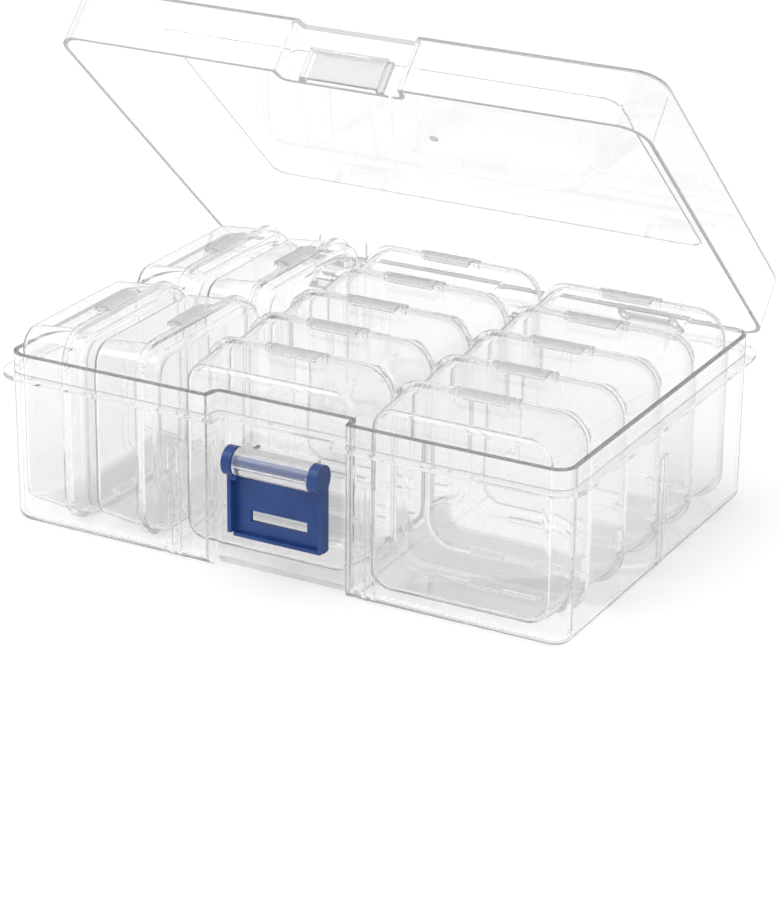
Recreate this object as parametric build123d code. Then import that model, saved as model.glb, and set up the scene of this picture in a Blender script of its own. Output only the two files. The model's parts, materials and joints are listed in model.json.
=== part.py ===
"""Bead storage box: a clear hinged box with a blue latch that holds fourteen small clasped cases.

Millimetres, +Z up, the origin in the middle of the box's underside. The front, with the latch, looks
along -Y. The lid is modelled closed and then swung open about its hinge, as it stands at rest.
"""
from build123d import *
from math import atan, degrees
import os

# Box body; its width and depth follow from the cases it holds
BODY_HEIGHT = 60.0
WALL = 1.5
FLOOR = 1.8
BODY_DRAFT = 0.3
BODY_CORNER = 6.5
FOOT_RADIUS = 3.2
INNER_FOOT_RADIUS = 2.0

# Flange round the body that the closed lid stands on
COLLAR_DROP = 6.6
COLLAR_THICK = 1.6
COLLAR_OUT = 3.6

# Step in the front wall that holds the latch
RECESS_WIDTH = 49.0
RECESS_DEPTH = 5.5
RECESS_SLOPE = 1.0
RECESS_CORNER = 1.5

# Double ribs outside the walls near the left edges of two columns, and the low floor ridges between columns
RIB_LEFT_SHIFT = 3.4
RIB_RIGHT_SHIFT = 4.3
RIB_SPACING = 3.4
RIB_THICK = 1.2
RIB_PROUD = 0.9
RIB_TOP = 40.0
RIDGE_HEIGHT = 1.6
RIDGE_WIDTH = 2.6

# Lid
LID_GAP = 2.0
LID_WALL = 1.4
LID_TOP_THICK = 1.4
LID_DRAFT = 0.3
LID_SEAT_GAP = 0.1
LID_HEADROOM = 0.5
LID_EDGE_RADIUS = 2.2
LID_INNER_EDGE_RADIUS = 1.2
PANEL_INSET = 23.0
PANEL_CORNER = 5.0
PANEL_STEP = 0.6
GATE_RADIUS = 1.6
GATE_HEIGHT = 0.4
LID_REST_ANGLE = 43.0

# Rear hinge: two clips on the body, each round a pin between two ears of the lid
HINGE_BACK = 8.0
HINGE_RISE = 0.1
HINGE_X = 62.0
CLIP_WIDTH = 16.0
CLIP_RADIUS = 3.2
CLIP_SNAP = 2.6
EAR_THICK = 2.6
EAR_RADIUS = 2.9
EAR_GAP = 0.3
EAR_REACH = 9.0
PIN_RADIUS = 1.6
PIN_CLEARANCE = 0.1

# Latch, its bracket on the body and its catch on the lid
LATCH_WIDTH = 35.0
LATCH_BELOW_COLLAR = 13.9
LATCH_AXIS_OUT = 5.4
LATCH_END_DROP = 7.6
LATCH_PLATE_START = 6.5
LATCH_PLATE_THICK = 1.6
LATCH_PLATE_OFFSET = 2.0
LATCH_ARM_WIDTH = 3.4
LATCH_RAIL_THICK = 1.4
LATCH_RAIL_DEPTH = 4.6
LATCH_BOSS_RADIUS = 4.9
LATCH_CORNER = 1.5
LIP_THICK = 1.2
LIP_REACH = 1.6
WINDOW_WIDTH = 21.0
WINDOW_HEIGHT = 4.0
WINDOW_FROM_END = 5.5
GRIP_WIDTH = 23.5
GRIP_HEIGHT = 0.9
GRIP_PROUD = 0.4
GRIP_FROM_WINDOW = 1.4
AXLE_RADIUS = 1.8
AXLE_CLEARANCE = 0.1
BRACKET_RADIUS = 4.6
BRACKET_SIDE_GAP = 0.4
BRACKET_SNAP = 3.0
CATCH_WIDTH = 28.0
CATCH_PLATE_GAP = 0.5
CATCH_WALL = 1.2
CATCH_LIP_GAP = 0.3
CATCH_FIN = 1.2
DETENT_WIDTH = 12.8
DETENT_PROUD = 0.8
DETENT_HEIGHT = 1.2

# Small case: a deep half and a shallow lid half, standing on edge
CASE_WIDTH = 69.0
CASE_HEIGHT = 67.8
CASE_CORNER = 10.5
CASE_LID_DEPTH = 6.5
CASE_WALL = 1.2
FLANGE_THICK = 1.2
FLANGE_PROUD = 1.4
TUB_DRAFT = 1.8
CASE_LID_DRAFT = 0.6
CASE_EDGE_RADIUS = 2.4
CASE_INNER_RADIUS = 1.2
CLASP_WIDTH = 17.5
CLASP_RADIUS = 5.2
CLASP_THICK = 1.1
CLASP_RISE = 1.5
CLASP_FORWARD = 2.0
CLASP_HALF_SPAN = 3.0
NUB_WIDTH = 1.6
NUB_DEPTH = 2.4
NUB_HEIGHT = 1.1
NUB_GAP = 1.0
KNUCKLE_RADIUS = 1.5
KNUCKLE_WIDTH = 12.0
KNUCKLE_SPACING = 24.0
KNUCKLE_GAP = 0.25

# Layout of the fourteen cases: a block of four on the left, then two columns of five
ROWS = 5
FLOOR_GAP = 0.1
CASE_GAP = 0.2
LEFT_WALL_GAP = 0.4
LEFT_CASE_GAP = 2.0
LEFT_ROW_GAP = 0.4
LEFT_END_GAP = 0.25
BLOCK_GAP = 4.7
COLUMN_GAP = 2.0
RIGHT_WALL_GAP = 2.5
MIDDLE_FRONT_GAP = 0.2
MIDDLE_REAR_GAP = 0.7
RIGHT_FRONT_GAP = 0.9

# Depth of the box from two cases side by side, and a case's depth from five behind the front step
INNER_HALF_DEPTH = CASE_WIDTH + LEFT_ROW_GAP / 2 + LEFT_END_GAP
RIM_DEPTH = 2 * (INNER_HALF_DEPTH + WALL + BODY_DRAFT)
FRONT_Y = -RIM_DEPTH / 2
BACK_Y = RIM_DEPTH / 2
RECESS_Y = FRONT_Y + RECESS_DEPTH
MIDDLE_START_Y = RECESS_Y + WALL + MIDDLE_FRONT_GAP
RIGHT_START_Y = -INNER_HALF_DEPTH + RIGHT_FRONT_GAP
CASE_PITCH = (INNER_HALF_DEPTH - MIDDLE_REAR_GAP + CASE_GAP - MIDDLE_START_Y) / ROWS
CASE_DEPTH = CASE_PITCH - CASE_GAP
TUB_DEPTH = CASE_DEPTH - CASE_LID_DEPTH

# Width of the box from the left block and the two columns
LEFT_PITCH = CASE_DEPTH + LEFT_CASE_GAP
LEFT_BLOCK_WIDTH = LEFT_WALL_GAP + LEFT_PITCH + CASE_DEPTH
COLUMNS_WIDTH = 2 * CASE_WIDTH + COLUMN_GAP + RIGHT_WALL_GAP
INNER_HALF_WIDTH = (LEFT_BLOCK_WIDTH + BLOCK_GAP + COLUMNS_WIDTH) / 2
RIM_WIDTH = 2 * (INNER_HALF_WIDTH + WALL + BODY_DRAFT)
RIGHT_X = INNER_HALF_WIDTH - RIGHT_WALL_GAP - CASE_WIDTH / 2
MIDDLE_X = RIGHT_X - CASE_WIDTH - COLUMN_GAP
RIB_LEFT_X = MIDDLE_X - CASE_WIDTH / 2 + RIB_LEFT_SHIFT
RIB_RIGHT_X = RIGHT_X - CASE_WIDTH / 2 + RIB_RIGHT_SHIFT

# Heights from the floor up to the closed lid
CASE_BASE_Z = FLOOR + FLOOR_GAP
CASE_TOP_Z = CASE_BASE_Z + CASE_HEIGHT + CLASP_RISE
CLOSED_HEIGHT = CASE_TOP_Z + LID_HEADROOM + PANEL_STEP + LID_TOP_THICK
COLLAR_TOP = BODY_HEIGHT - COLLAR_DROP

# Lid, rear hinge and latch
LID_OUT = LID_GAP + LID_WALL
LID_WIDTH = RIM_WIDTH + 2 * LID_OUT
LID_DEPTH = RIM_DEPTH + 2 * LID_OUT
LID_LOW = COLLAR_TOP + LID_SEAT_GAP
LID_RECESS_Y = RECESS_Y - LID_OUT
HINGE_Y = BACK_Y + HINGE_BACK
HINGE_Z = COLLAR_TOP + HINGE_RISE
HINGE_AXIS = Axis((0, HINGE_Y, HINGE_Z), (-1, 0, 0))
LATCH_Y = RECESS_Y - LATCH_AXIS_OUT
LATCH_AXIS_Z = COLLAR_TOP - LATCH_BELOW_COLLAR
LATCH_AXIS = Axis((0, LATCH_Y, LATCH_AXIS_Z), (-1, 0, 0))
LATCH_ARM_X = LATCH_WIDTH / 2 - LATCH_ARM_WIDTH
LATCH_END_Z = CLOSED_HEIGHT - LATCH_END_DROP
CATCH_TOP = LATCH_END_Z - LIP_THICK - CATCH_LIP_GAP
CATCH_FRONT = LATCH_Y - LATCH_PLATE_OFFSET + CATCH_PLATE_GAP


def block(low, high):
    """A box from its low corner to its high corner."""
    size = [b - a for a, b in zip(low, high)]
    return Pos(*low) * Box(*size, align=(Align.MIN, Align.MIN, Align.MIN))


def along_x(sketch, low_x, high_x):
    """A profile drawn in Y and Z, run from one X to another."""
    return extrude(Plane.YZ.offset(low_x) * sketch, amount=high_x - low_x)


def rod(y, z, radius, low_x, high_x):
    """A round rod along X."""
    return along_x(Pos(y, z) * Circle(radius), low_x, high_x)


def tapered(width, depth, corner, low, high, draft):
    """An upright block with rounded corners that widens upwards by the draft on each side."""
    outline = Pos(0, 0, low) * RectangleRounded(width - 2 * draft, depth - 2 * draft, corner - draft)
    return extrude(outline, amount=high - low, taper=-degrees(atan(draft / (high - low))))


def recess(front_y, inset, grow, low, high):
    """The space of the step in a front wall; grow moves its sides and back by one wall."""
    back = front_y + RECESS_DEPTH + grow
    half = RECESS_WIDTH / 2 - inset + grow
    front = front_y - RECESS_DEPTH
    flare = RECESS_SLOPE * (back - front) / RECESS_DEPTH
    outline = Polygon((-half - flare, front), (half + flare, front), (half, back), (-half, back), align=None)
    inner_corners = outline.vertices().sort_by(Axis.Y)[-2:]
    outline = fillet(inner_corners, RECESS_CORNER + max(grow, 0))
    return extrude(Pos(0, 0, low) * outline, amount=high - low)


def rib_pair(length_axis, place, wall, outward):
    """Two upright ribs through a wall, from the floor to two thirds of the height."""
    ribs = []
    for side in (-1, 1):
        middle = place + side * RIB_SPACING / 2
        near, far = sorted((wall - outward * (FOOT_RADIUS + WALL), wall + outward * 2 * RIB_PROUD))
        if length_axis == "x":
            low = (middle - RIB_THICK / 2, near, 0)
            high = (middle + RIB_THICK / 2, far, RIB_TOP)
        else:
            low = (near, middle - RIB_THICK / 2, 0)
            high = (far, middle + RIB_THICK / 2, RIB_TOP)
        ribs.append(block(low, high))
    return ribs


def body_shell():
    """The open box: rounded walls with the step in the front, the collar and the floor ridges."""
    outer = tapered(RIM_WIDTH, RIM_DEPTH, BODY_CORNER, 0, BODY_HEIGHT, BODY_DRAFT)
    outer = fillet(outer.faces().sort_by(Axis.Z)[0].edges(), FOOT_RADIUS)
    outer -= recess(FRONT_Y, 0, 0, -1, BODY_HEIGHT + 1)
    collar = Pos(0, 0, COLLAR_TOP - COLLAR_THICK) * extrude(
        RectangleRounded(RIM_WIDTH + 2 * COLLAR_OUT, RIM_DEPTH + 2 * COLLAR_OUT, BODY_CORNER + COLLAR_OUT),
        amount=COLLAR_THICK)
    collar -= recess(FRONT_Y - COLLAR_OUT, COLLAR_OUT, 0, 0, BODY_HEIGHT)
    cavity = tapered(RIM_WIDTH - 2 * WALL, RIM_DEPTH - 2 * WALL, BODY_CORNER - WALL,
                     FLOOR, BODY_HEIGHT + 1, BODY_DRAFT)
    cavity = fillet(cavity.faces().sort_by(Axis.Z)[0].edges(), INNER_FOOT_RADIUS)
    cavity -= recess(FRONT_Y, 0, WALL, 0, BODY_HEIGHT + 2)
    ribs = []
    for x in (RIB_LEFT_X, RIB_RIGHT_X):
        ribs += rib_pair("x", x, FRONT_Y + BODY_DRAFT, -1)
        ribs += rib_pair("x", x, BACK_Y - BODY_DRAFT, 1)
    for side in (-1, 1):
        ribs += rib_pair("y", 0, side * (RIM_WIDTH / 2 - BODY_DRAFT), side)
    rib_limit = tapered(RIM_WIDTH + 2 * RIB_PROUD, RIM_DEPTH + 2 * RIB_PROUD, BODY_CORNER + RIB_PROUD,
                        0, BODY_HEIGHT, BODY_DRAFT)
    rib_limit = fillet(rib_limit.faces().sort_by(Axis.Z)[0].edges(), FOOT_RADIUS + RIB_PROUD)
    shell = outer + collar + [rib & rib_limit for rib in ribs] - cavity
    for column_x in (MIDDLE_X, RIGHT_X):
        x = column_x - (CASE_WIDTH + COLUMN_GAP) / 2
        shell += block((x - RIDGE_WIDTH / 2, -INNER_HALF_DEPTH - WALL / 2, FLOOR / 2),
                       (x + RIDGE_WIDTH / 2, INNER_HALF_DEPTH + WALL / 2, FLOOR + RIDGE_HEIGHT))
    return shell


def bracket():
    """The clear clip bar in the step of the front wall that holds the latch's axle."""
    half = LATCH_ARM_X - BRACKET_SIDE_GAP
    bar = rod(LATCH_Y, LATCH_AXIS_Z, BRACKET_RADIUS, -half, half)
    bar += block((-half, LATCH_Y, LATCH_AXIS_Z - BRACKET_RADIUS),
                 (half, RECESS_Y + WALL / 2, LATCH_AXIS_Z + BRACKET_RADIUS))
    bar -= rod(LATCH_Y, LATCH_AXIS_Z, AXLE_RADIUS + AXLE_CLEARANCE, -half, half)
    bar -= block((-half, LATCH_Y - BRACKET_SNAP / 2, LATCH_AXIS_Z - 2 * BRACKET_RADIUS),
                 (half, LATCH_Y + BRACKET_SNAP / 2, LATCH_AXIS_Z))
    return bar


def hinge_clip(x):
    """One rear clip of the body, open towards the back so that the lid's pin snaps in."""
    low, high = x - CLIP_WIDTH / 2, x + CLIP_WIDTH / 2
    gusset = Polygon(
        (BACK_Y - WALL / 2, COLLAR_TOP - 2.6 * CLIP_RADIUS),
        (HINGE_Y + CLIP_RADIUS / 2, HINGE_Z - 0.86 * CLIP_RADIUS),
        (HINGE_Y, HINGE_Z),
        (HINGE_Y - CLIP_RADIUS, COLLAR_TOP - COLLAR_THICK),
        (BACK_Y - WALL / 2, COLLAR_TOP - COLLAR_THICK), align=None)
    clip = along_x(gusset, low, high) + rod(HINGE_Y, HINGE_Z, CLIP_RADIUS, low, high)
    clip -= rod(HINGE_Y, HINGE_Z, PIN_RADIUS + PIN_CLEARANCE, low, high)
    clip -= block((low, HINGE_Y, HINGE_Z - CLIP_SNAP / 2),
                  (high, HINGE_Y + 2 * CLIP_RADIUS, HINGE_Z + CLIP_SNAP / 2))
    return clip


def storage_base():
    base = body_shell() + bracket()
    for x in (-HINGE_X, HINGE_X):
        base += hinge_clip(x)
    return base


def lid_shell():
    """The lid as it sits closed: top plate, skirt with the front step, and the stacking panel."""
    low, top = LID_LOW, CLOSED_HEIGHT
    outer = mirror(tapered(LID_WIDTH, LID_DEPTH, BODY_CORNER + LID_OUT, -top, -low, LID_DRAFT), Plane.XY)
    outer = fillet(outer.faces().sort_by(Axis.Z)[-1].edges(), LID_EDGE_RADIUS)
    outer -= recess(-LID_DEPTH / 2, LID_OUT, 0, 0, top + 1)
    roof = top - LID_TOP_THICK
    cavity = mirror(tapered(LID_WIDTH - 2 * LID_WALL, LID_DEPTH - 2 * LID_WALL,
                            BODY_CORNER + LID_GAP, -roof, -low + 1, LID_DRAFT), Plane.XY)
    cavity = fillet(cavity.faces().sort_by(Axis.Z)[-1].edges(), LID_INNER_EDGE_RADIUS)
    cavity -= recess(-LID_DEPTH / 2, LID_OUT, LID_WALL, 0, top + 1)
    panel = RectangleRounded(LID_WIDTH - 2 * PANEL_INSET, LID_DEPTH - 2 * PANEL_INSET, PANEL_CORNER)
    inner_panel = RectangleRounded(LID_WIDTH - 2 * PANEL_INSET + LID_WALL,
                                   LID_DEPTH - 2 * PANEL_INSET + LID_WALL, PANEL_CORNER + LID_WALL / 2)
    shell = outer - cavity
    shell += Pos(0, 0, roof - PANEL_STEP) * extrude(inner_panel, amount=LID_TOP_THICK)
    shell -= Pos(0, 0, top - PANEL_STEP) * extrude(panel, amount=2 * PANEL_STEP)
    gate = Pos(0, 0, top - PANEL_STEP) * extrude(Circle(GATE_RADIUS), amount=GATE_HEIGHT)
    return shell + gate


def catch():
    """The hollow block on the lid's front that the latch's lip hooks over, with a fin on each side."""
    half = CATCH_WIDTH / 2
    front, back = CATCH_FRONT, LID_RECESS_Y + LID_WALL / 2
    solid = block((-half, front, LID_LOW), (half, back, CATCH_TOP))
    solid -= block((-half + CATCH_WALL, front + CATCH_WALL, LID_LOW - 1),
                   (half - CATCH_WALL, LID_RECESS_Y, CATCH_TOP - CATCH_WALL))
    for side in (-1, 1):
        x = sorted((side * half, side * (half + CATCH_FIN)))
        solid += block((x[0], (front + LID_RECESS_Y) / 2, LID_LOW), (x[1], back, CATCH_TOP))
    solid += block((-DETENT_WIDTH / 2, LID_RECESS_Y - DETENT_PROUD, CATCH_TOP),
                   (DETENT_WIDTH / 2, back, CATCH_TOP + DETENT_HEIGHT))
    return solid


def hinge_ears(x):
    """Two ears below the lid's rear skirt with the pin that runs between them."""
    skirt = LID_DEPTH / 2 - LID_WALL / 2
    profile = Polygon(
        (skirt, LID_LOW + LID_SEAT_GAP),
        (HINGE_Y, HINGE_Z),
        (HINGE_Y + EAR_RADIUS * 0.6, HINGE_Z + EAR_RADIUS * 0.8),
        (skirt, LID_LOW + EAR_REACH), align=None)
    inner = CLIP_WIDTH / 2 + EAR_GAP
    outer = inner + EAR_THICK
    ears = []
    for side in (-1, 1):
        low, high = sorted((x + side * inner, x + side * outer))
        ears.append(along_x(profile, low, high) + rod(HINGE_Y, HINGE_Z, EAR_RADIUS, low, high))
    ears.append(rod(HINGE_Y, HINGE_Z, PIN_RADIUS, x - inner, x + inner))
    return ears


def storage_lid():
    lid = lid_shell() + catch()
    for x in (-HINGE_X, HINGE_X):
        lid += hinge_ears(x)
    return lid.rotate(HINGE_AXIS, LID_REST_ANGLE)


def latch():
    """The latch drawn as it sits closed, then swung down to hang below its axle."""
    y, z = LATCH_Y, LATCH_AXIS_Z
    half, arm = LATCH_WIDTH / 2, LATCH_ARM_X
    inner = y - LATCH_PLATE_OFFSET
    outer = inner - LATCH_PLATE_THICK
    plate = block((-half, outer, z + LATCH_PLATE_START), (half, inner, LATCH_END_Z))
    plate = fillet(plate.edges().filter_by(Axis.Y).group_by(Axis.Z)[-1], LATCH_CORNER)
    window_top = LATCH_END_Z - WINDOW_FROM_END
    window_low = window_top - WINDOW_HEIGHT
    plate -= block((-WINDOW_WIDTH / 2, outer, window_low), (WINDOW_WIDTH / 2, inner, window_top))
    pieces = [plate]
    for side in (-1, 1):
        low, high = sorted((side * (half - LATCH_RAIL_THICK), side * half))
        rail = block((low, outer, z), (high, outer + LATCH_RAIL_DEPTH, LATCH_END_Z - LATCH_CORNER))
        low, high = sorted((side * arm, side * half))
        foot = block((low, outer, z), (high, outer + LATCH_RAIL_DEPTH, z + LATCH_PLATE_START))
        pieces += [rail, foot, rod(y, z, LATCH_BOSS_RADIUS, low, high)]
    pieces.append(block((-half + LATCH_RAIL_THICK, outer, LATCH_END_Z - LIP_THICK),
                        (half - LATCH_RAIL_THICK, inner + LIP_REACH, LATCH_END_Z)))
    for low in (window_top + GRIP_FROM_WINDOW, window_low - GRIP_FROM_WINDOW - GRIP_HEIGHT):
        pieces.append(block((-GRIP_WIDTH / 2, outer - GRIP_PROUD, low),
                            (GRIP_WIDTH / 2, inner, low + GRIP_HEIGHT)))
    pieces.append(rod(y, z, AXLE_RADIUS, -arm, arm))
    whole = pieces[0].fuse(*pieces[1:])
    return whole.rotate(LATCH_AXIS, -180)


def case_outline(inset):
    """The case's outline from the front, drawn in X and Z and shrunk by the inset."""
    return Pos(0, CASE_HEIGHT / 2) * RectangleRounded(
        CASE_WIDTH - 2 * inset, CASE_HEIGHT - 2 * inset, CASE_CORNER - inset)


def case_block(inset, low_y, high_y, draft=0.0):
    """A block of the case's outline between two depths; it narrows towards the front by the draft."""
    length = high_y - low_y
    solid = extrude(case_outline(inset), amount=length, taper=degrees(atan(draft / length)))
    return Pos(0, high_y, 0) * (Rot(90, 0, 0) * solid)


def knuckles(first):
    """Hinge barrels under the joint of a case: the outer two on the deep half, the middle on its lid."""
    places = (-KNUCKLE_SPACING / 2, KNUCKLE_SPACING / 2) if first else (0,)
    width = KNUCKLE_WIDTH - 2 * KNUCKLE_GAP
    return [rod(TUB_DEPTH, KNUCKLE_RADIUS, KNUCKLE_RADIUS, x - width / 2, x + width / 2) for x in places]


def knuckle_room(first):
    """Notches in a flange that let the other half's barrels through."""
    places = (0,) if first else (-KNUCKLE_SPACING / 2, KNUCKLE_SPACING / 2)
    reach = KNUCKLE_RADIUS + KNUCKLE_GAP
    return [block((x - KNUCKLE_WIDTH / 2, TUB_DEPTH - reach, -1),
                  (x + KNUCKLE_WIDTH / 2, TUB_DEPTH + reach, reach + KNUCKLE_RADIUS))
            for x in places]


def case_tub():
    """The deep half of a case: drafted walls, a rounded face and a flange at the joint."""
    outer = case_block(FLANGE_PROUD, 0, TUB_DEPTH, TUB_DRAFT)
    outer = fillet(outer.faces().sort_by(Axis.Y)[0].edges(), CASE_EDGE_RADIUS)
    cavity = case_block(FLANGE_PROUD + CASE_WALL, CASE_WALL, TUB_DEPTH, TUB_DRAFT)
    cavity = fillet(cavity.faces().sort_by(Axis.Y)[0].edges(), CASE_INNER_RADIUS)
    tub = outer + case_block(0, TUB_DEPTH - FLANGE_THICK, TUB_DEPTH)
    for side in (-1, 1):
        x = sorted((side * (CLASP_WIDTH / 2 + NUB_GAP), side * (CLASP_WIDTH / 2 + NUB_GAP + NUB_WIDTH)))
        tub += block((x[0], TUB_DEPTH - NUB_DEPTH, CASE_HEIGHT - FLANGE_PROUD - CASE_WALL),
                     (x[1], TUB_DEPTH, CASE_HEIGHT + NUB_HEIGHT))
    tub += knuckles(True)
    tub -= knuckle_room(True)
    return tub - cavity


def case_lid():
    """The shallow half of a case: a low dome with a flange, and the clasp that arches over the joint."""
    back = TUB_DEPTH + CASE_LID_DEPTH
    dome = mirror(case_block(FLANGE_PROUD, -back, -TUB_DEPTH, CASE_LID_DRAFT), Plane.XZ)
    dome = fillet(dome.faces().sort_by(Axis.Y)[-1].edges(), CASE_EDGE_RADIUS)
    cavity = case_block(FLANGE_PROUD + CASE_WALL, -back + CASE_WALL, -TUB_DEPTH, CASE_LID_DRAFT)
    cavity = mirror(cavity, Plane.XZ)
    cavity = fillet(cavity.faces().sort_by(Axis.Y)[-1].edges(), CASE_INNER_RADIUS)
    lid = dome + case_block(0, TUB_DEPTH, TUB_DEPTH + FLANGE_THICK)
    half = CLASP_WIDTH / 2
    centre = Pos(TUB_DEPTH - CLASP_FORWARD, CASE_HEIGHT + CLASP_RISE - CLASP_RADIUS)
    arch = centre * (Circle(CLASP_RADIUS) - Circle(CLASP_RADIUS - CLASP_THICK))
    arch &= centre * Rectangle(2 * CLASP_HALF_SPAN, CLASP_RADIUS, align=(Align.CENTER, Align.MIN))
    lid += along_x(arch, -half, half)
    lid += block((-half, TUB_DEPTH, CASE_HEIGHT - FLANGE_PROUD - CASE_WALL),
                 (half, TUB_DEPTH + FLANGE_THICK, CASE_HEIGHT + CLASP_THICK / 2))
    lid += knuckles(False)
    lid -= knuckle_room(False)
    return lid - cavity


def case_places():
    """Where the front face of each case stands: the left block, the middle column, the right column."""
    places = []
    reach = (CASE_WIDTH + LEFT_ROW_GAP) / 2
    for y in (-reach, reach):
        for column in range(2):
            x = -INNER_HALF_WIDTH + LEFT_WALL_GAP + column * LEFT_PITCH
            places.append(Location((x, y, CASE_BASE_Z), (0, 0, -90)))
    for x, start in ((MIDDLE_X, MIDDLE_START_Y), (RIGHT_X, RIGHT_START_Y)):
        for row in range(ROWS):
            places.append(Location((x, start + row * CASE_PITCH, CASE_BASE_Z)))
    return places


def main():
    os.makedirs("parts", exist_ok=True)
    shapes = {"storage_base": storage_base(), "storage_lid": storage_lid(), "latch": latch()}
    tub, lid = case_tub(), case_lid()
    for number, place in enumerate(case_places(), 1):
        shapes[f"case_{number:02d}_tub"] = place * tub
        shapes[f"case_{number:02d}_lid"] = place * lid
    for name, shape in shapes.items():
        export_step(shape, f"parts/{name}.step")
    return shapes


main()
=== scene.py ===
"""Clear bead storage box with a blue latch: materials, stage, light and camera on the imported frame."""
import bpy
import json
from math import cos, radians, sin
from mathutils import Matrix, Vector

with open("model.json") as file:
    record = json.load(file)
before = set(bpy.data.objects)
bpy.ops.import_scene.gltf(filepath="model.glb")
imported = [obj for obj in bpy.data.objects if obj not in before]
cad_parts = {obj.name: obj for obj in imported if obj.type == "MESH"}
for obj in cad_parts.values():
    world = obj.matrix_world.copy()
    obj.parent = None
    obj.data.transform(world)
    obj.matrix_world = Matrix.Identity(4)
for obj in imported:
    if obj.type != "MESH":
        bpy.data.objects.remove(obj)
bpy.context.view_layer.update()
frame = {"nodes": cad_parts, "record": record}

# Camera of the photograph: metres, degrees and pixels of the 781 x 913 picture
IMAGE_WIDTH = 781
IMAGE_HEIGHT = 913
TARGET = Vector((0, 0, 0.040))
AZIMUTH = 28.543
ELEVATION = 21.543
ROLL = 0.521
DISTANCE = 1.0860
FOCAL_PIXELS = 3232.8
CENTRE_X = 382.9
CENTRE_Y = 396.9
SENSOR = 36.0

# Surround, floor and lamps; each lamp is its name, place, size in metres and power in watts
WORLD_LEVEL = 0.75
FLOOR_LIFT = 0.25
FLOOR_GREY = 0.90
FLOOR_REACH = 6.0
LAMP_AIM = Vector((0, 0, 0.05))
LAMPS = (
    ("key_light", (-0.8, -0.6, 1.2), 0.9, 7.0),
    ("fill_light", (1.1, -0.9, 0.8), 0.8, 3.0),
)

# Clear plastic: a ray bends in the first walls, goes straight through more, and ends in a plain grey glow,
# painted light standing in for the light from further walls and deeper reflections
CLEAR_IOR = 1.46
BENT_WALLS = 5.5
STRAIGHT_WALLS = 5.5
LAST_DEPTH = 11.5
LAST_DEPTH_PAINTED_GLOW = 0.96
LAST_GLOSSY = 3.5
LAST_GLOSSY_PAINTED_GLOW = 0.62
SHADOW_GREY = 0.96

# Milky look of the walls' faces, turning into a dark grey painted shade on walls seen edge on that draws
# their outlines
FACING_BLEND = 0.5
EDGE_SHARE = 0.85
MILK_FACE = (0.95, 0.955, 0.96)
EDGE_PAINTED_SHADE = (0.20, 0.205, 0.21)

# Tints of each clear piece, from a wall seen face on at 0 to edge on at 1: the plastic's own faint colour
# face on, darkening edge on into a painted shade that draws the walls' outlines
BOX_TINTS_AND_EDGE_SHADE = ((0.0, 0.996), (0.25, 0.993), (0.55, 0.925), (0.8, 0.82), (1.0, 0.22))
LID_TINTS_AND_EDGE_SHADE = ((0.0, 0.998), (0.4, 0.995), (0.72, 0.98), (0.87, 0.84), (1.0, 0.2))
CASE_TINTS_AND_EDGE_SHADE = ((0.0, 0.996), (0.3, 0.994), (0.65, 0.986), (0.85, 0.90), (1.0, 0.25))

# Scale and strength of the slow waves and the fine grain of moulded plastic
CLEAR_WAVES = (25.0, 0.005)
CLEAR_GRAIN = (400.0, 0.0015)
BLUE_WAVES = (90.0, 0.03)
BLUE_GRAIN = (1400.0, 0.06)
BUMP_DISTANCE = 0.001

# Blue plastic of the latch
BLUE_CLOUDS = 120.0
BLUE_TINTS = ((0.3, (0.014, 0.050, 0.20)), (0.7, (0.020, 0.064, 0.245)))
BLUE_ROUGHNESS = 0.34
BLUE_SPECULAR = 0.35

# Directions: of the box, and of the lid, which stands open at its angle about its hinge
RIGHT = (1, 0, 0)
BACK = (0, 1, 0)
UP = (0, 0, 1)
LID_ANGLE = 43.0
LID_UP = (0, sin(radians(LID_ANGLE)), cos(radians(LID_ANGLE)))
LID_BACK = (0, cos(radians(LID_ANGLE)), -sin(radians(LID_ANGLE)))
HINGE = Vector((0, 0.07925, 0.0535))

# Places that have a finish or a painted shade of their own, in metres, those on the lid as it lies shut.
# The panel's head and foot are shares of its step, FAR is past the model, and SOFT is a zone's blurred edge.
RIM_HEIGHT = 0.060
RIM_BAND = 0.0005
BACK_RIM = 0.066
BRACKET_HALF = 0.0139
BRACKET_FRONT = -0.08
BRACKET_BACK = -0.0660
BRACKET_LOW = 0.034
BRACKET_HIGH = 0.0446
LID_TOP = 0.0737
LID_PLATE = 0.0014
LID_RIM_BELOW = 0.001
LID_RIM_ABOVE = 0.0003
PANEL_STEP = 0.0006
PANEL_HEAD = 0.1
PANEL_FOOT = 0.9
PANEL_HALF_WIDTH = 0.0849
PANEL_HALF_DEPTH = 0.0531
CATCH_HALF = 0.0153
CATCH_DEPTH = 0.0050
CATCH_BACK = -0.0693
CASE_TOP = 0.0697
CLASP_LOW = 0.0001
CLASP_HIGH = 0.01
FAR = 1.0
SOFT = 0.00005

# Finish of each such place: tint, haze and roughness; on the rims and the panel's step the darkening is
# painted shade, dark lines where the clear walls' edges look dark
RIM_SHADE_AND_FINISH = (0.14, 0.04, 0.25)
BACK_RIM_SHADE_AND_FINISH = (0.60, 0.10, 0.25)
BRACKET_FINISH = (0.97, 0.10, 0.16)
LID_RIM_SHADE_AND_FINISH = (0.50, 0.06, 0.2)
PANEL_STEP_SHADE_AND_FINISH = (0.20, 0.20, 0.1)
CATCH_FINISH = (0.74, 0.18, 0.1)
CLASP_FINISH = (0.93, 0.22, 0.30)

# Sockets of a mix node, several of which share one name
NUMBER_FIRST, NUMBER_SECOND, NUMBER_RESULT = 2, 3, 0
COLOUR_FIRST, COLOUR_SECOND, COLOUR_RESULT = 6, 7, 2


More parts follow.
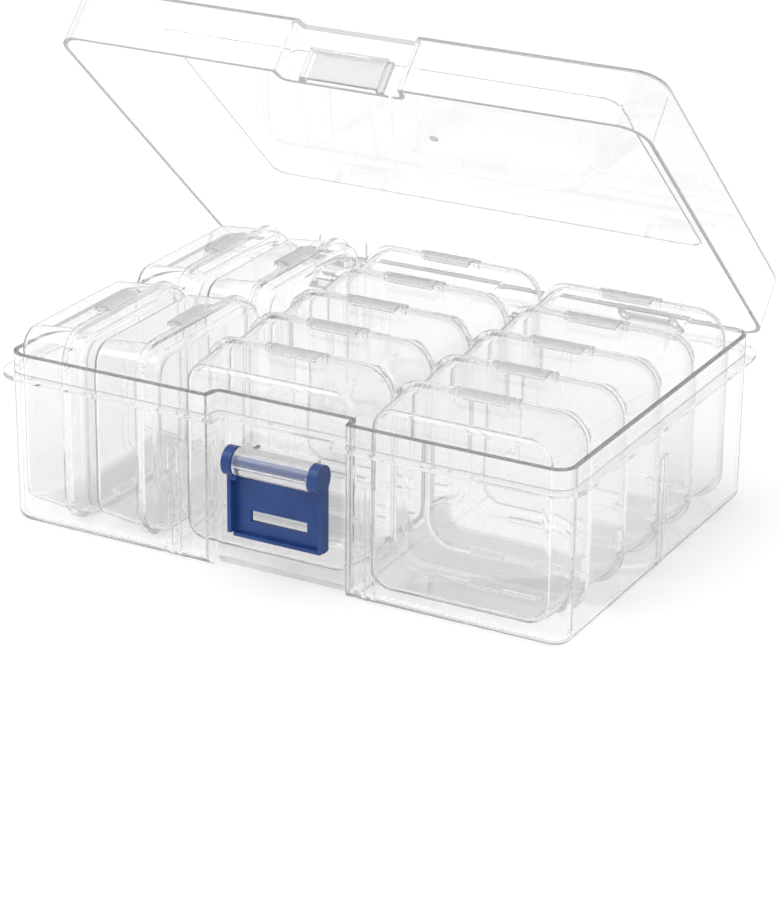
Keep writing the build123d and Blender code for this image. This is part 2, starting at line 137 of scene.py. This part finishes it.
def add_camera():
    """A camera that looks from the photograph's side, with its shift for the off-centre picture."""
    az, el = radians(AZIMUTH), radians(ELEVATION)
    back = Vector((sin(az) * cos(el), -cos(az) * cos(el), sin(el)))
    right = Vector(UP).cross(back).normalized()
    up = back.cross(right)
    turn = Matrix((right, up, back)).transposed() @ Matrix.Rotation(radians(ROLL), 3, "Z")
    data = bpy.data.cameras.new("photo_camera")
    data.sensor_width = SENSOR
    data.lens = FOCAL_PIXELS * SENSOR / IMAGE_HEIGHT
    data.shift_x = (IMAGE_WIDTH / 2 - CENTRE_X) / IMAGE_HEIGHT
    data.shift_y = (CENTRE_Y - IMAGE_HEIGHT / 2) / IMAGE_HEIGHT
    camera = bpy.data.objects.new("photo_camera", data)
    camera.matrix_world = Matrix.Translation(TARGET + back * DISTANCE) @ turn.to_4x4()
    bpy.context.scene.collection.objects.link(camera)
    bpy.context.scene.camera = camera


def node_material(name):
    """A new material with its node tree and its principled shader."""
    material = bpy.data.materials.new(name)
    material.use_nodes = True
    tree = material.node_tree
    return material, tree, tree.nodes["Principled BSDF"]


def wire(tree, value, socket):
    """Set a socket to a number, or link it to an output."""
    if isinstance(value, (int, float)):
        socket.default_value = value
    else:
        tree.links.new(value, socket)


def math_node(tree, operation, first, second):
    """A math node from links or numbers."""
    node = tree.nodes.new("ShaderNodeMath")
    node.operation = operation
    wire(tree, first, node.inputs[0])
    wire(tree, second, node.inputs[1])
    return node.outputs["Value"]


def grey(level):
    """An opaque grey colour."""
    return (level, level, level, 1)


def ramp(tree, factor, stops):
    """A colour ramp from (position, grey or colour) stops."""
    node = tree.nodes.new("ShaderNodeValToRGB")
    tree.links.new(factor, node.inputs["Fac"])
    while len(node.color_ramp.elements) < len(stops):
        node.color_ramp.elements.new(1.0)
    for element, (place, colour) in zip(node.color_ramp.elements, stops):
        element.position = place
        element.color = grey(colour) if isinstance(colour, float) else (*colour, 1)
    return node.outputs["Color"]


def moulded_bump(tree, shaders, waves, grain):
    """Slow waves of moulded plastic with a fine grain on top."""
    place = tree.nodes.new("ShaderNodeTexCoord")
    normal = None
    for scale, strength in (waves, grain):
        noise = tree.nodes.new("ShaderNodeTexNoise")
        noise.inputs["Scale"].default_value = scale
        bump = tree.nodes.new("ShaderNodeBump")
        bump.inputs["Strength"].default_value = strength
        bump.inputs["Distance"].default_value = BUMP_DISTANCE
        tree.links.new(place.outputs["Object"], noise.inputs["Vector"])
        tree.links.new(noise.outputs["Fac"], bump.inputs["Height"])
        if normal is not None:
            tree.links.new(normal, bump.inputs["Normal"])
        normal = bump.outputs["Normal"]
    for shader in shaders:
        tree.links.new(normal, shader.inputs["Normal"])


def along(tree, direction):
    """Distance of a point along a direction, in the model's own frame."""
    place = tree.nodes.new("ShaderNodeTexCoord")
    dot = tree.nodes.new("ShaderNodeVectorMath")
    dot.operation = "DOT_PRODUCT"
    tree.links.new(place.outputs["Object"], dot.inputs[0])
    dot.inputs[1].default_value = direction
    return dot.outputs["Value"]


def span(tree, direction, low, high):
    """1 between two distances along a direction, with soft ends."""
    distance = along(tree, direction)
    ends = []
    for edge, sign in ((low, 1.0), (high, -1.0)):
        node = tree.nodes.new("ShaderNodeMapRange")
        node.inputs["From Min"].default_value = edge - sign * SOFT
        node.inputs["From Max"].default_value = edge + sign * SOFT
        tree.links.new(distance, node.inputs["Value"])
        ends.append(node.outputs["Result"])
    return math_node(tree, "MULTIPLY", *ends)


def zone(tree, spans):
    """1 inside a block given as (direction, low, high) spans."""
    inside = None
    for direction, low, high in spans:
        part = span(tree, direction, low, high)
        inside = part if inside is None else math_node(tree, "MULTIPLY", inside, part)
    return inside


def faded(tree, base, masks, targets):
    """A number that starts at base and moves to another value inside each zone."""
    value = base
    for inside, target in zip(masks, targets):
        node = tree.nodes.new("ShaderNodeMix")
        tree.links.new(inside, node.inputs["Factor"])
        wire(tree, value, node.inputs[NUMBER_FIRST])
        node.inputs[NUMBER_SECOND].default_value = target
        value = node.outputs[NUMBER_RESULT]
    return value


def dimmed(tree, colour, masks, levels):
    """A colour that is multiplied by a grey level inside each zone."""
    for inside, level in zip(masks, levels):
        node = tree.nodes.new("ShaderNodeMix")
        node.data_type = "RGBA"
        node.blend_type = "MULTIPLY"
        tree.links.new(inside, node.inputs["Factor"])
        tree.links.new(colour, node.inputs[COLOUR_FIRST])
        node.inputs[COLOUR_SECOND].default_value = grey(level)
        colour = node.outputs[COLOUR_RESULT]
    return colour


def either(tree, choice, first, second):
    """The first shader, or the second where choice is 1."""
    node = tree.nodes.new("ShaderNodeMixShader")
    tree.links.new(choice, node.inputs["Fac"])
    tree.links.new(first, node.inputs[1])
    tree.links.new(second, node.inputs[2])
    return node.outputs["Shader"]


def milk_and_edge_shade(tree, colour):
    """The milky part of the plastic in the colour it is given, here milky on faces and a dark grey painted
    shade on walls seen edge on, half lit through and half lit from outside, and its two shaders.
    """
    through_lit = tree.nodes.new("ShaderNodeBsdfTranslucent")
    outside_lit = tree.nodes.new("ShaderNodeBsdfDiffuse")
    tree.links.new(colour, through_lit.inputs["Color"])
    tree.links.new(colour, outside_lit.inputs["Color"])
    mixed = tree.nodes.new("ShaderNodeMixShader")
    tree.links.new(through_lit.outputs["BSDF"], mixed.inputs[1])
    tree.links.new(outside_lit.outputs["BSDF"], mixed.inputs[2])
    return mixed.outputs["Shader"], (through_lit, outside_lit)


def through_many_walls(tree, surface, tint_and_shade):
    """The plastic, passed straight through by rays that have met many walls, glowing plain grey as painted
    light for rays that have met still more walls or reflections, and clear to the lamps' shadows.
    """
    path = tree.nodes.new("ShaderNodeLightPath")
    thin = tree.nodes.new("ShaderNodeBsdfTransparent")
    tree.links.new(tint_and_shade, thin.inputs["Color"])
    bent = math_node(tree, "GREATER_THAN", path.outputs["Ray Depth"], BENT_WALLS)
    few = math_node(tree, "LESS_THAN", path.outputs["Transparent Depth"], STRAIGHT_WALLS)
    surface = either(tree, math_node(tree, "MULTIPLY", bent, few), surface, thin.outputs["BSDF"])
    # Past the last depths the plastic glows grey: painted light for the light through further walls and for
    # deeper reflections
    ends = (("Ray Depth", LAST_DEPTH, LAST_DEPTH_PAINTED_GLOW), ("Glossy Depth", LAST_GLOSSY, LAST_GLOSSY_PAINTED_GLOW))
    for depth, limit, level in ends:
        glow = tree.nodes.new("ShaderNodeEmission")
        glow.inputs["Color"].default_value = grey(level)
        ended = math_node(tree, "GREATER_THAN", path.outputs[depth], limit)
        surface = either(tree, ended, surface, glow.outputs["Emission"])
    shadow = tree.nodes.new("ShaderNodeBsdfTransparent")
    shadow.inputs["Color"].default_value = grey(SHADOW_GREY)
    return either(tree, path.outputs["Is Shadow Ray"], surface, shadow.outputs["BSDF"])


def clear_plastic(name, tints_and_edge_shade, edge_start, haze, roughness, zones):
    """Clear polypropylene: see-through on its faces, greyer by painted shade where a wall is seen edge on,
    slightly milky.

    Each zone is the spans of a part of the surface and its finish; on the rims and the panel's step the
    finish darkens the colour into a painted dark line of shade.
    """
    material, tree, shader = node_material(name)
    masks = [zone(tree, spans) for spans, _ in zones]
    zone_tints_and_shades, zone_hazes, zone_roughness = zip(*(finish for _, finish in zones))
    weight = tree.nodes.new("ShaderNodeLayerWeight")
    weight.inputs["Blend"].default_value = FACING_BLEND
    facing = weight.outputs["Facing"]
    # Colour of the plastic face on, darkening edge on into painted shade, with the painted dark lines of the
    # rims and the panel's step
    tint_and_shade = dimmed(tree, ramp(tree, facing, tints_and_edge_shade), masks, zone_tints_and_shades)
    tree.links.new(tint_and_shade, shader.inputs["Base Color"])
    wire(tree, faded(tree, roughness, masks, zone_roughness), shader.inputs["Roughness"])
    shader.inputs["IOR"].default_value = CLEAR_IOR
    shader.inputs["Transmission Weight"].default_value = 1.0
    # Milky haze on the faces, dark grey painted shade on walls seen edge on
    milk_and_shade, milk_and_shade_shaders = milk_and_edge_shade(tree, ramp(tree, facing, ((edge_start, MILK_FACE), (1.0, EDGE_PAINTED_SHADE))))
    edge = ramp(tree, facing, ((edge_start, 0.0), (1.0, EDGE_SHARE)))
    share = math_node(tree, "MAXIMUM", faded(tree, haze, masks, zone_hazes), edge)
    body = either(tree, share, shader.outputs["BSDF"], milk_and_shade)
    moulded_bump(tree, (shader, *milk_and_shade_shaders), CLEAR_WAVES, CLEAR_GRAIN)
    surface = through_many_walls(tree, body, tint_and_shade)
    tree.links.new(surface, tree.nodes["Material Output"].inputs["Surface"])
    return material


def blue_plastic():
    """Opaque blue plastic with a satin sheen, slightly uneven from moulding."""
    material, tree, shader = node_material("latch_blue_plastic")
    place = tree.nodes.new("ShaderNodeTexCoord")
    noise = tree.nodes.new("ShaderNodeTexNoise")
    noise.inputs["Scale"].default_value = BLUE_CLOUDS
    tree.links.new(place.outputs["Object"], noise.inputs["Vector"])
    tree.links.new(ramp(tree, noise.outputs["Fac"], BLUE_TINTS), shader.inputs["Base Color"])
    shader.inputs["Roughness"].default_value = BLUE_ROUGHNESS
    shader.inputs["Specular IOR Level"].default_value = BLUE_SPECULAR
    moulded_bump(tree, (shader,), BLUE_WAVES, BLUE_GRAIN)
    return material


def box_zones():
    """The rim of the box and its part beside the hinge, both darkened by painted lines of shade, and the
    bracket that holds the latch.
    """
    rim = (UP, RIM_HEIGHT - RIM_BAND, FAR)
    bracket = [(RIGHT, -BRACKET_HALF, BRACKET_HALF),
               (BACK, BRACKET_FRONT, BRACKET_BACK),
               (UP, BRACKET_LOW, BRACKET_HIGH)]
    return (
        ([rim, (BACK, -FAR, BACK_RIM)], RIM_SHADE_AND_FINISH),
        ([rim, (BACK, BACK_RIM, FAR)], BACK_RIM_SHADE_AND_FINISH),
        (bracket, BRACKET_FINISH),
    )


def lid_zones():
    """The lid's catch, its rim, and the step of its stacking panel on the outside and the inside; the rim
    and the step get painted dark lines of shade.
    """
    rim = Vector(LID_UP).dot(HINGE)
    middle = Vector(LID_BACK).dot(HINGE) - HINGE.y
    catch_back = middle + CATCH_BACK
    catch = [(RIGHT, -CATCH_HALF, CATCH_HALF), (LID_BACK, catch_back - CATCH_DEPTH, catch_back)]
    panel = [(RIGHT, -PANEL_HALF_WIDTH, PANEL_HALF_WIDTH),
             (LID_BACK, middle - PANEL_HALF_DEPTH, middle + PANEL_HALF_DEPTH)]
    zones = [(catch, CATCH_FINISH), ([(LID_UP, rim - LID_RIM_BELOW, rim + LID_RIM_ABOVE)], LID_RIM_SHADE_AND_FINISH)]
    top = rim + LID_TOP - HINGE.z
    for face in (top, top - LID_PLATE):
        step = (LID_UP, face - PANEL_FOOT * PANEL_STEP, face - PANEL_HEAD * PANEL_STEP)
        zones.append(([step, *panel], PANEL_STEP_SHADE_AND_FINISH))
    return zones


def case_zones():
    """The clasps that stand above the small cases."""
    return [([(UP, CASE_TOP + CLASP_LOW, CASE_TOP + CLASP_HIGH)], CLASP_FINISH)]


def dress():
    """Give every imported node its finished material."""
    looks = {
        "box_clear": clear_plastic("box_clear_plastic", BOX_TINTS_AND_EDGE_SHADE, edge_start=0.66, haze=0.014,
                                   roughness=0.015, zones=box_zones()),
        "lid_clear": clear_plastic("lid_clear_plastic", LID_TINTS_AND_EDGE_SHADE, edge_start=0.76, haze=0.010,
                                   roughness=0.015, zones=lid_zones()),
        "case_clear": clear_plastic("case_clear_plastic", CASE_TINTS_AND_EDGE_SHADE, edge_start=0.69, haze=0.018,
                                    roughness=0.02, zones=case_zones()),
        "latch_blue": blue_plastic(),
    }
    slots = {part["node"]: part["material_slot"] for part in frame["record"]["subparts"]}
    for name, node in frame["nodes"].items():
        for slot in node.material_slots:
            slot.material = looks[slots[name]]


def seen_white(tree):
    """1 for rays that show the white background: seen straight, in a reflection or through plastic."""
    path = tree.nodes.new("ShaderNodeLightPath")
    seen = math_node(tree, "MAXIMUM", path.outputs["Is Camera Ray"], path.outputs["Is Glossy Ray"])
    return math_node(tree, "MAXIMUM", seen, path.outputs["Is Transmission Ray"])


def add_stage():
    """A plain white floor that keeps a soft shadow."""
    mesh = bpy.data.meshes.new("floor")
    corners = [(-FLOOR_REACH, -FLOOR_REACH, 0), (FLOOR_REACH, -FLOOR_REACH, 0),
               (FLOOR_REACH, FLOOR_REACH, 0), (-FLOOR_REACH, FLOOR_REACH, 0)]
    mesh.from_pydata(corners, [], [(0, 1, 2, 3)])
    floor = bpy.data.objects.new("floor", mesh)
    bpy.context.scene.collection.objects.link(floor)
    material, tree, shader = node_material("floor_white")
    shader.inputs["Base Color"].default_value = grey(FLOOR_GREY)
    shader.inputs["Roughness"].default_value = 1.0
    shader.inputs["Specular IOR Level"].default_value = 0.0
    shader.inputs["Emission Color"].default_value = grey(1)
    lift = math_node(tree, "MULTIPLY", seen_white(tree), FLOOR_LIFT)
    tree.links.new(lift, shader.inputs["Emission Strength"])
    mesh.materials.append(material)


def add_light():
    """A bright even surround and two soft lamps."""
    world = bpy.data.worlds.new("studio")
    bpy.context.scene.world = world
    world.use_nodes = True
    tree = world.node_tree
    plain = tree.nodes["Background"]
    plain.inputs["Color"].default_value = grey(1)
    spread = math_node(tree, "MULTIPLY", seen_white(tree), 1.0 - WORLD_LEVEL)
    tree.links.new(math_node(tree, "ADD", spread, WORLD_LEVEL), plain.inputs["Strength"])
    for name, place, size, power in LAMPS:
        data = bpy.data.lights.new(name, "AREA")
        data.size = size
        data.energy = power
        lamp = bpy.data.objects.new(name, data)
        lamp.location = place
        lamp.rotation_euler = (LAMP_AIM - Vector(place)).to_track_quat("-Z", "Y").to_euler()
        bpy.context.scene.collection.objects.link(lamp)


add_camera()
dress()
add_stage()
add_light()
bpy.context.scene.view_settings.view_transform = "Standard"
